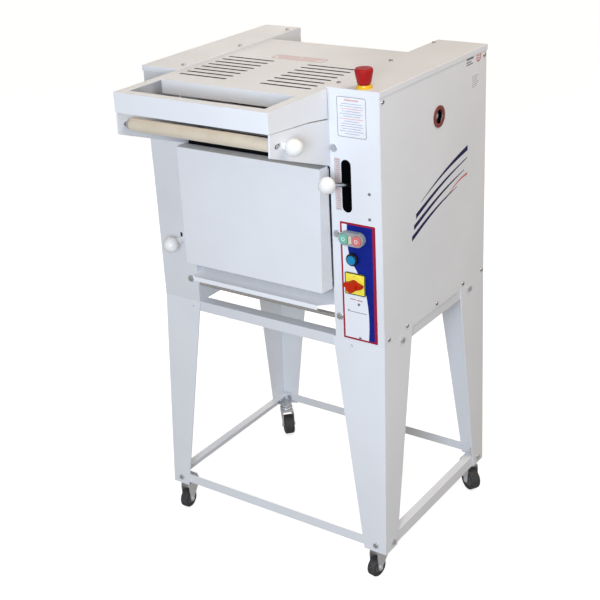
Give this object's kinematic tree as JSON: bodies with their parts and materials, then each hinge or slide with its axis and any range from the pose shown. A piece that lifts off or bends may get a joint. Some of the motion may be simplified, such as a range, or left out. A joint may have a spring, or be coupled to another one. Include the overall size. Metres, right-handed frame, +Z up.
{
  "type": "dough sheeter",
  "caption": "Upright dough sheeter and moulder: felt infeed belt between white cabinets, roller gap lever, pressure door, castored stand.",
  "frame": {"origin": "on the floor under the centre of the whole outline", "axes": "+X to the machine's right (control cabinet), +Y to the rear, +Z up"},
  "size_m": [0.7137, 0.749, 1.294],
  "materials": {
    "white_paint": "smooth white powder coat, satin gloss",
    "zinc": "bright zinc plate",
    "felt": "woven beige wool felt",
    "steel": "turned steel",
    "polished_steel": "polished",
    "cast": "machined grey iron",
    "motor_grey": "grey enamel",
    "belt_rubber": "matt rubber",
    "tyre": "matt hard rubber",
    "label": "printed polyester film",
    "clear_grey_plastic": "translucent grey housing",
    "black_plastic": "satin",
    "yellow_plastic": "gloss",
    "red_plastic": "gloss",
    "green_plastic": "gloss",
    "blue_plastic": "gloss",
    "white_plastic": "gloss",
    "dark_red": "satin"
  },
  "bodies": {
    "frame": {"left_cabinet": "white_paint", "left_cover": "white_paint", "left_side_frame": "white_paint", "right_cabinet": "white_paint", "right_side_panel": "white_paint", "right_cover": "white_paint", "right_side_frame": "white_paint", "back_panel": "white_paint", "leg_front_left": "white_paint", "leg_front_right": "white_paint", "leg_rear_left": "white_paint", "leg_rear_right": "white_paint", "stand_top_frame": "white_paint", "cross_bars": "white_paint", "side_bars": "white_paint", "caster_plates": "zinc", "infeed_belt": "felt", "moulding_belt": "felt", "scraper": "steel", "discharge_plate": "white_paint", "tie_rod": "polished_steel", "motor": "motor_grey", "drive_belt": "belt_rubber", "control_label": "label", "push_bezel": "clear_grey_plastic", "jog_bezel": "black_plastic", "isolator_plate": "yellow_plastic", "estop_base": "yellow_plastic", "side_ring": "dark_red", "panel_screws": "zinc", "frame_bolts": "zinc", "cable_gland": "black_plastic"},
    "hood_body": {"hood": "white_paint"},
    "fork_front_left_body": {"fork_front_left": "zinc"},
    "fork_front_right_body": {"fork_front_right": "zinc"},
    "fork_rear_left_body": {"fork_rear_left": "zinc"},
    "fork_rear_right_body": {"fork_rear_right": "zinc"},
    "wheel_front_left_body": {"wheel_front_left": "tyre"},
    "wheel_front_right_body": {"wheel_front_right": "tyre"},
    "wheel_rear_left_body": {"wheel_rear_left": "tyre"},
    "wheel_rear_right_body": {"wheel_rear_right": "tyre"},
    "infeed_front_roller_body": {"infeed_front_roller": "steel"},
    "infeed_rear_roller_body": {"infeed_rear_roller": "steel"},
    "lower_roller_body": {"lower_roller": "polished_steel"},
    "upper_roller_body": {"upper_roller": "polished_steel"},
    "roller_blocks_body": {"roller_blocks": "cast"},
    "moulding_roller_top_body": {"moulding_roller_top": "steel"},
    "moulding_roller_bottom_body": {"moulding_roller_bottom": "steel"},
    "motor_pulley_body": {"motor_pulley": "cast"},
    "driven_pulley_body": {"driven_pulley": "cast"},
    "front_door_body": {"front_door": "white_paint"},
    "door_knob_body": {"door_knob": "white_plastic"},
    "gap_lever_body": {"gap_lever": "polished_steel", "lever_knob": "white_plastic"},
    "tension_knob_body": {"tension_knob": "white_plastic"},
    "button_start_body": {"button_start": "green_plastic"},
    "button_stop_body": {"button_stop": "red_plastic"},
    "jog_button_body": {"jog_button": "blue_plastic"},
    "isolator_handle_body": {"isolator_handle": "red_plastic"},
    "estop_head_body": {"estop_head": "red_plastic"}
  },
  "joints": [
    {"name": "hood_lift", "type": "hinge", "parent": "frame", "child": "hood_body", "pos_m": [-0.01823, 0.2155, 1.238], "axis": [-1, 0, 0], "range_deg": [0, 75]},
    {"name": "swivel_front_left", "type": "hinge", "parent": "frame", "child": "fork_front_left_body", "pos_m": [-0.31923, -0.1475, 0.084], "axis": [0, 0, 1], "continuous": true},
    {"name": "roll_front_left", "type": "hinge", "parent": "fork_front_left_body", "child": "wheel_front_left_body", "pos_m": [-0.31714, -0.17141, 0.026], "axis": [0.9962, 0.0872, 0], "continuous": true},
    {"name": "swivel_front_right", "type": "hinge", "parent": "frame", "child": "fork_front_right_body", "pos_m": [0.30477, -0.1475, 0.084], "axis": [0, 0, 1], "continuous": true},
    {"name": "roll_front_right", "type": "hinge", "parent": "fork_front_right_body", "child": "wheel_front_right_body", "pos_m": [0.30143, -0.17127, 0.026], "axis": [0.9903, -0.1392, 0], "continuous": true},
    {"name": "swivel_rear_left", "type": "hinge", "parent": "frame", "child": "fork_rear_left_body", "pos_m": [-0.31923, 0.3175, 0.084], "axis": [0, 0, 1], "continuous": true},
    {"name": "roll_rear_left", "type": "hinge", "parent": "fork_rear_left_body", "child": "wheel_rear_left_body", "pos_m": [-0.30168, 0.30113, 0.03], "axis": [0.682, 0.7314, 0], "continuous": true},
    {"name": "swivel_rear_right", "type": "hinge", "parent": "frame", "child": "fork_rear_right_body", "pos_m": [0.30477, 0.3175, 0.084], "axis": [0, 0, 1], "continuous": true},
    {"name": "roll_rear_right", "type": "hinge", "parent": "fork_rear_right_body", "child": "wheel_rear_right_body", "pos_m": [0.32555, 0.3055, 0.03], "axis": [0.5, 0.866, 0], "continuous": true},
    {"name": "lower_roller_spin", "type": "hinge", "parent": "frame", "child": "lower_roller_body", "pos_m": [-0.01823, -0.0935, 1.066], "axis": [1, 0, 0], "continuous": true},
    {"name": "gap_lever_swing", "type": "hinge", "parent": "frame", "child": "gap_lever_body", "pos_m": [0.23577, -0.0495, 1.0025], "axis": [-1, 0, 0], "range_deg": [-32, 20]},
    {"name": "roller_lift", "type": "slide", "parent": "frame", "child": "roller_blocks_body", "axis": [0, 0.3371, 0.9415], "range_m": [-0.00506, 0.00809]},
    {"name": "upper_roller_spin", "type": "hinge", "parent": "roller_blocks_body", "child": "upper_roller_body", "pos_m": [-0.01823, -0.0645, 1.147], "axis": [1, 0, 0], "continuous": true},
    {"name": "infeed_front_spin", "type": "hinge", "parent": "frame", "child": "infeed_front_roller_body", "pos_m": [-0.01823, -0.3475, 1.168], "axis": [1, 0, 0], "continuous": true},
    {"name": "infeed_rear_spin", "type": "hinge", "parent": "frame", "child": "infeed_rear_roller_body", "pos_m": [-0.01823, -0.1645, 1.099], "axis": [1, 0, 0], "continuous": true},
    {"name": "moulding_top_spin", "type": "hinge", "parent": "frame", "child": "moulding_roller_top_body", "pos_m": [-0.01823, -0.0845, 0.985], "axis": [1, 0, 0], "continuous": true},
    {"name": "moulding_bottom_spin", "type": "hinge", "parent": "frame", "child": "moulding_roller_bottom_body", "pos_m": [-0.01823, -0.1045, 0.792], "axis": [1, 0, 0], "continuous": true},
    {"name": "countershaft_spin", "type": "hinge", "parent": "frame", "child": "driven_pulley_body", "pos_m": [0.21777, 0.1165, 1.13], "axis": [1, 0, 0], "continuous": true},
    {"name": "motor_spin", "type": "hinge", "parent": "frame", "child": "motor_pulley_body", "pos_m": [0.21777, 0.1205, 0.76], "axis": [1, 0, 0], "continuous": true},
    {"name": "door_knob_turn", "type": "hinge", "parent": "frame", "child": "door_knob_body", "pos_m": [-0.26923, -0.1595, 0.808], "axis": [0, -1, 0], "range_deg": [0, 340]},
    {"name": "door_tilt", "type": "hinge", "parent": "frame", "child": "front_door_body", "pos_m": [-0.01823, -0.1375, 1.048], "axis": [-1, 0, 0], "range_deg": [0, 8]},
    {"name": "tension_knob_turn", "type": "hinge", "parent": "frame", "child": "tension_knob_body", "pos_m": [0.20277, -0.3245, 1.163], "axis": [1, 0, 0], "range_deg": [-170, 170]},
    {"name": "start_press", "type": "slide", "parent": "frame", "child": "button_start_body", "axis": [0, 1, 0], "range_m": [0, 0.0028], "stiffness_N_per_m": 600, "springref_m": -0.002},
    {"name": "stop_press", "type": "slide", "parent": "frame", "child": "button_stop_body", "axis": [0, 1, 0], "range_m": [0, 0.0028], "stiffness_N_per_m": 600, "springref_m": -0.002},
    {"name": "jog_press", "type": "slide", "parent": "frame", "child": "jog_button_body", "axis": [0, 1, 0], "range_m": [0, 0.0024], "stiffness_N_per_m": 600, "springref_m": -0.002},
    {"name": "isolator_turn", "type": "hinge", "parent": "frame", "child": "isolator_handle_body", "pos_m": [0.25327, -0.1595, 0.791], "axis": [0, 1, 0], "range_deg": [0, 90]},
    {"name": "estop_press", "type": "slide", "parent": "frame", "child": "estop_head_body", "axis": [0, 0, -1], "range_m": [0, 0.003]}
  ],
  "couplings": [
    {"joint": "upper_roller_spin", "follows": "lower_roller_spin", "ratio": -1},
    {"joint": "infeed_front_spin", "follows": "lower_roller_spin", "ratio": 1.9},
    {"joint": "infeed_rear_spin", "follows": "lower_roller_spin", "ratio": 1.9},
    {"joint": "moulding_top_spin", "follows": "lower_roller_spin", "ratio": -1.45},
    {"joint": "moulding_bottom_spin", "follows": "lower_roller_spin", "ratio": -1.45},
    {"joint": "countershaft_spin", "follows": "lower_roller_spin", "ratio": 2},
    {"joint": "motor_spin", "follows": "lower_roller_spin", "ratio": 5.87},
    {"joint": "gap_lever_swing", "follows": "roller_lift", "rad_per_m": -68.97},
    {"joint": "door_knob_turn", "follows": "door_tilt", "ratio": 42.4}
  ]
}
